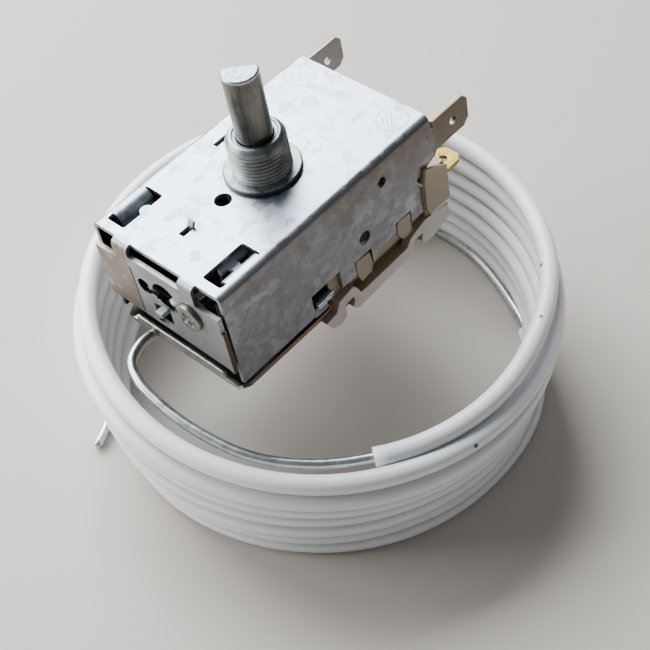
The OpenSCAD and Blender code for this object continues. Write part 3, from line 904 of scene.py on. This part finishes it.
# the plate's tones: hidden is painted shade with some dirt, corner is painted shade, and spot is a
# painted highlight
PLATE_TONES = {
    "shade_and_dirt": (0.08, 0.075, 0.06), "corner": (0.006, 0.006, 0.005), "highlight_spot": (0.9, 0.89, 0.86),
    "side_dark": (0.16, 0.1, 0.06), "side_pale": (0.34, 0.24, 0.16),
}
# painted highlights: bright round spots on the element plate's lip, as (x, z) in metres, and their
# fade
LIP_HIGHLIGHTS = [(-0.0129, -0.0222), (0.0129, -0.0222)]
LIP_HIGHLIGHT_FADE = (0.0009, 0.0005)


def sheared_nickel(name, low, high, rough, speck, details=None):
    """Nickel plate that is worn to specks: bright and dark grains over a warm grey."""
    g = Graph(name, high, rough, 1.0)
    blot = g.noise("nickel_blots")
    grain = g.noise("nickel_grain")
    colour = g.mix(g.ramp(blot, 0.3, 0.7), low, high)
    colour = g.mix(g.ramp(grain, 0.62, 0.72, 0.0, speck), colour, NICKEL_GRAIN[0])
    colour = g.mix(g.ramp(grain, 0.36, 0.28, 0.0, speck), colour, NICKEL_GRAIN[1])
    if details:
        colour = details(g, colour, grain)
    g.set("Base Color", colour)
    g.set("Roughness", g.rough(blot, rough - 0.07, rough + 0.1))
    g.bump(grain, 0.3, 0.00004)
    return g.mat


def shank_shade(g, colour, grain):
    """The adjusting screw is dark behind its head: painted shade inside the housing."""
    return g.mix(g.where(TRIM_HEAD_PLACE), TRIM_SHANK_SHADE, colour)


def highlight_spot(g, place):
    """1 inside a round painted highlight on the lip's face, 0 outside it."""
    dx, dz = (g.math("SUBTRACT", g.measure(name), at) for name, at in zip("XZ", place))
    gap = g.math("SQRT", g.math("ADD", g.both(dx, dx), g.both(dz, dz)))
    return g.both(g.ramp(gap, *LIP_HIGHLIGHT_FADE), g.where(PLATE_FACE))


def plate_details(g, colour, grain):
    """The element plate: dark behind its lip, painted shade with some dirt; nearly black at its left
    corner, painted shade; and bright in two spots, painted highlights.
    """
    colour = g.mix(g.where(PLATE_SHADE_AND_DIRT), colour, PLATE_TONES["shade_and_dirt"])
    colour = g.mix(g.where(PLATE_SHADED_CORNER), colour, PLATE_TONES["corner"])
    for place in LIP_HIGHLIGHTS:
        colour = g.mix(highlight_spot(g, place), colour, PLATE_TONES["highlight_spot"])
    side = g.mix(grain, PLATE_TONES["side_dark"], PLATE_TONES["side_pale"])
    return g.mix(g.where(PLATE_SIDES), colour, side)


BRASS_STRETCH = (1.0, 0.15, 1.0)
# painted shade on the blades inside the block
BRASS_SHADE_IN_BLOCK = [("Y", 21.0, 20.0)]
BRASS = {
    "default": (0.34, 0.24, 0.08), "dark": (0.23, 0.155, 0.035), "pale": (0.36, 0.26, 0.065),
    "shade_in_block": (0.05, 0.035, 0.015),
}


def stamped_brass():
    """Brass blades: rolled grain along their length, with painted shade where they lie inside the
    block.
    """
    g = Graph("terminal_brass", BRASS["default"], 0.5, 1.0)
    stretched = g.vector("MULTIPLY", g.coord, BRASS_STRETCH)
    grain = g.noise("brass_grain", stretched)
    colour = g.mix(grain, BRASS["dark"], BRASS["pale"])
    g.set("Base Color", g.mix(g.where(BRASS_SHADE_IN_BLOCK), colour, BRASS["shade_in_block"]))
    g.set("Roughness", g.rough(grain, 0.42, 0.56))
    g.bump(grain, 0.15, 0.00003)
    return g.mat


# painted shade inside the housing, a painted reflection on the pads under the windows, and a painted
# highlight on the ear's end
LEVER_SHADE = [("Z", -3.2, -5.0), ("Y", -25.2, -24.4), ("out", 14.5, 14.1)]
LEVER_EAR = [("out", 14.6, 14.75)]
LEVER_PAD_REFLECTIONS = [("Z", -3.1, -2.9)]
# the ear's seam: its ends as two places in y in millimetres and two heights in metres, and its
# fade in metres
SEAM = (-5.3, -4.1, -0.01757, -0.01728)
SEAM_FADE = (0.0002, 0.0001)
# the levers' tones: inside is painted shade, ear is a painted highlight, and the pad tones are a
# painted reflection
LEVER = {
    "default": (0.3, 0.31, 0.32), "dark": (0.24, 0.26, 0.27), "pale": (0.4, 0.42, 0.44),
    "inside": (0.045, 0.042, 0.038), "ear": (0.75, 0.82, 0.84), "seam": (0.06, 0.07, 0.08),
    "pad_reflection_dark": (0.62, 0.7, 0.75), "pad_reflection_pale": (0.85, 0.92, 0.95),
}


def lever_steel():
    """The levers: painted shade inside, a painted reflection on the pads at the windows, a painted
    highlight on the ear's end, and a seam in that end.
    """
    g = Graph("lever_steel", LEVER["default"], 0.34, 1.0)
    blot = g.noise("lever_blots")
    colour = g.mix(blot, LEVER["dark"], LEVER["pale"])
    # painted shade inside the housing
    colour = g.mix(g.where(LEVER_SHADE), colour, LEVER["inside"])
    off_seam = g.math("SUBTRACT", g.measure("Z"), g.fade("Y", *SEAM))
    seam = g.ramp(g.math("ABSOLUTE", off_seam), *SEAM_FADE)
    # painted reflection on the pads, and painted highlight on the ear's end
    pad_reflection = g.where(LEVER_PAD_REFLECTIONS)
    colour = g.mix(pad_reflection, colour, g.mix(blot, LEVER["pad_reflection_dark"], LEVER["pad_reflection_pale"]))
    ear = g.mix(seam, LEVER["ear"], LEVER["seam"])
    g.set("Base Color", g.mix(g.where(LEVER_EAR), colour, ear))
    g.set("Metallic", g.math("SUBTRACT", 1.0, g.both(pad_reflection, 0.75)))
    g.set("Roughness", g.math("ADD", g.rough(blot, 0.28, 0.42), g.both(pad_reflection, 0.2)))
    g.bump(blot, 0.1, 0.00004)
    return g.mat


# dark specks on the sleeve, in the row frame, and their fade in metres
SPECKS = [(45.68, -6.24, -30.89), (32.56, 28.18, -27.83), (39.67, 18.77, -27.36)]
SPECK_FADE = (0.0008, 0.0005)
SPECK_ROUGH = 0.0005
# the sleeve's tones; the groove tone is painted shade between the turns
VINYL = {
    "default": (0.86, 0.88, 0.9), "cool": (0.93, 0.95, 0.98), "warm": (0.97, 0.98, 0.99),
    "groove_shade": (0.34, 0.33, 0.31), "scuff": (0.66, 0.68, 0.7), "speck": (0.06, 0.06, 0.07),
}


def soft_sleeve():
    """White vinyl sleeving: a faint waviness, painted shade between its turns, scuffs and three
    specks.
    """
    g = Graph("white_sleeve", VINYL["default"], 0.32)
    slow = g.noise("sleeve_waves")
    fine = g.noise("sleeve_dust")
    colour = g.mix(slow, VINYL["cool"], VINYL["warm"])
    # painted shade: grey where each turn lies against the next
    between = g.add("Attribute", attribute_name="groove_shade").outputs["Fac"]
    colour = g.mix(g.both(between, 0.75), colour, VINYL["groove_shade"])
    scuff = g.ramp(g.noise("sleeve_scuffs"), 0.7, 0.78, 0.0, 0.5)
    colour = g.mix(scuff, colour, VINYL["scuff"])
    for place in SPECKS:
        gap = g.vector("DISTANCE", g.coord, tuple(Vector(place) * MM), "Value")
        gap = g.math("ADD", gap, g.both(fine, SPECK_ROUGH))
        colour = g.mix(g.ramp(gap, *SPECK_FADE), colour, VINYL["speck"])
    g.set("Base Color", colour)
    g.set("Roughness", g.rough(fine, 0.28, 0.4))
    g.bump(g.math("ADD", g.both(slow, 2.0), fine), 0.06, 0.0001)
    return g.mat


RAILS = [("out", 14.9, 15.05), ("Z", -19.2, -19.8)]
BEIGE = {
    "default": (0.5, 0.42, 0.31), "dark": (0.3, 0.22, 0.13), "pale": (0.38, 0.29, 0.18),
    "rail_dark": (0.52, 0.45, 0.39), "rail_pale": (0.62, 0.55, 0.48),
}


def cloudy_beige():
    """Beige moulded plastic, paler on the rails."""
    g = Graph("beige_moulding", BEIGE["default"], 0.42)
    slow = g.noise("beige_clouds")
    fine = g.noise("beige_grain")
    body = g.mix(slow, BEIGE["dark"], BEIGE["pale"])
    rails = g.mix(slow, BEIGE["rail_dark"], BEIGE["rail_pale"])
    g.set("Base Color", g.mix(g.where(RAILS), body, rails))
    g.set("Roughness", g.rough(fine, 0.34, 0.5))
    g.bump(fine, 0.12, 0.00005)
    return g.mat


def plain(name, colour, rough, metal=0.0, spread=0.12):
    """One finish with a fine mottling of its own colour, darker and lighter by spread."""
    g = Graph(name, colour, rough, metal)
    mottle = g.noise("mottle")
    dark = tuple(c * (1 - spread) for c in colour)
    light = tuple(min(1.0, c * (1 + spread)) for c in colour)
    g.set("Base Color", g.mix(mottle, dark, light))
    g.bump(mottle, 0.05, 0.0001)
    return g.mat


# each slot: its material and the CAD pieces that wear it
FINISHES = {
    "galvanised_sheet": (galvanised(), ["housing"]),
    "bushing_zinc": (threaded_zinc(), ["mounting_bushing"]),
    "shaft_zinc": (drawn_zinc(), ["control_shaft"]),
    "white_moulding": (
        plain("white_moulding", (0.75, 0.74, 0.7), 0.5), ["cam", "push_pin", "push_button"]),
    "spring_steel": (
        plain("spring_steel", (0.2, 0.2, 0.2), 0.4, 1.0),
        ["shaft_clip", "range_spring", "snap_spring"]),
    "lever_steel": (lever_steel(), ["range_lever", "main_lever"]),
    "bright_zinc": (
        plain("bright_zinc", (0.5, 0.53, 0.55), 0.3, 1.0, 0.2), ["range_screw", "trim_nut"]),
    "trim_nickel": (
        sheared_nickel("trim_nickel", (0.17, 0.16, 0.14), (0.33, 0.32, 0.29), 0.3, 0.5, shank_shade),
        ["trim_screw"]),
    "beige_moulding": (cloudy_beige(), ["contact_block"]),
    "terminal_brass": (
        stamped_brass(), ["right_terminal", "middle_terminal", "left_terminal", "bellows"]),
    "contact_silver": (
        plain("contact_silver", (0.7, 0.69, 0.66), 0.3, 1.0), ["fixed_contact", "moving_contact"]),
    "blade_copper": (plain("blade_copper", (0.72, 0.42, 0.28), 0.3, 1.0), ["moving_blade"]),
    "element_nickel": (
        sheared_nickel(
            "element_nickel", (0.4, 0.38, 0.33), (0.62, 0.61, 0.56), 0.32, 0.8, plate_details),
        ["element_plate", "element_cup"]),
    "capillary_tin": (
        sheared_nickel("capillary_tin", (0.42, 0.45, 0.44), (0.62, 0.66, 0.65), 0.32, 0.2),
        ["capillary_lead", "capillary_tail"]),
    "white_sleeve": (soft_sleeve(), ["sleeve_start", "sleeve_coil", "sleeve_end"]),
}


def finish_with(obj, slot):
    """Gives a piece its slot's material."""
    obj.data.materials.clear()
    obj.data.materials.append(FINISHES[slot][0])


for slot, (_, names) in FINISHES.items():
    for name in names:
        finish_with(NODES[name], slot)
finish_with(sleeve, "white_sleeve")
finish_with(capillary, "capillary_tin")
finish_with(bushing, "bushing_zinc")
finish_with(trim_screw, "trim_nickel")
finish_with(bridge, "galvanised_sheet")
finish_with(sill, "galvanised_sheet")

# edges of the CAD pieces: how near equal points lie, in metres, and the bevels' widths
JOIN = 0.000005
SHARP_ANGLE = 32
BEVEL_ANGLE = 30
EDGES = [
    ("contact_block", 0.18), ("right_terminal", 0.08), ("middle_terminal", 0.08),
    ("left_terminal", 0.08), ("element_plate", 0.12), ("main_lever", 0.1), ("range_lever", 0.1),
    ("range_screw", 0.08), ("control_shaft", 0.42),
]


def join_points(obj):
    """Joins a CAD piece's equal points and shades its faces smooth."""
    weld = obj.modifiers.new("weld", "WELD")
    weld.merge_threshold = JOIN
    obj.data.polygons.foreach_set("use_smooth", np.ones(len(obj.data.polygons), bool))


def join_facets(name, angle):
    """Shades a CAD piece's round faces smooth and keeps its edges sharp."""
    obj = NODES[name]
    join_points(obj)
    split = obj.modifiers.new("split", "EDGE_SPLIT")
    split.split_angle = math.radians(angle)


def soften(name, width):
    """Rounds a CAD piece's edges with a narrow bevel."""
    obj = NODES[name]
    join_points(obj)
    bevel = obj.modifiers.new("bevel", "BEVEL")
    bevel.width = width * MM
    bevel.segments = BEVEL_SEGMENTS
    bevel.limit_method = "ANGLE"
    bevel.angle_limit = math.radians(BEVEL_ANGLE)
    bevel.harden_normals = False
    weighted = obj.modifiers.new("weighted", "WEIGHTED_NORMAL")
    weighted.keep_sharp = True


for name, width in EDGES:
    soften(name, width)
join_facets("housing", SHARP_ANGLE)

# floor and light, in metres but for the floor's half width
FLOOR_HALF = 1500
FLOOR_TONE = (0.56, 0.5, 0.44)
FLOOR_ROUGH = 0.6
LIGHT_AIM = (0, 0, -0.02)
# each light: its name, place, width and height, power in watts, and colour
LIGHTS = [
    ("window", (-0.75, 0.25, 0.72), (1.0, 0.8), 46, (0.9, 0.96, 1.0)),
    ("side", (-0.85, -0.7, 0.5), (0.6, 0.6), 16, (0.93, 0.97, 1.0)),
]
SKY_TONE = (0.8, 0.83, 0.88)
SKY_STRENGTH = 0.25


def pale_floor():
    """A large plain square under the coil, in the coil's own plane."""
    signs = ((-1, -1), (1, -1), (1, 1), (-1, 1))
    corners = [(x * FLOOR_HALF, y * FLOOR_HALF, FLOOR_H) for x, y in signs]
    obj = mesh_object("floor", from_coil(corners), [(0, 1, 2, 3)], smooth=False)
    obj.data.materials.append(nodes_of("floor", FLOOR_TONE, FLOOR_ROUGH)[0])
    return obj


def area(name, place, size, power, colour):
    """A soft rectangular light that is turned to the part."""
    data = bpy.data.lights.new(name, "AREA")
    data.shape = "RECTANGLE"
    data.size, data.size_y = size
    data.energy = power
    data.color = colour
    obj = bpy.data.objects.new(name, data)
    bpy.context.scene.collection.objects.link(obj)
    obj.location = place
    obj.rotation_euler = (Vector(LIGHT_AIM) - Vector(place)).to_track_quat("-Z", "Y").to_euler()


def add_world():
    """A weak even light from all round."""
    world = bpy.data.worlds.new("world")
    world.use_nodes = True
    background = world.node_tree.nodes["Background"]
    background.inputs["Color"].default_value = (*SKY_TONE, 1)
    background.inputs["Strength"].default_value = SKY_STRENGTH
    bpy.context.scene.world = world


floor = pale_floor()
for light in LIGHTS:
    area(*light)
add_world()
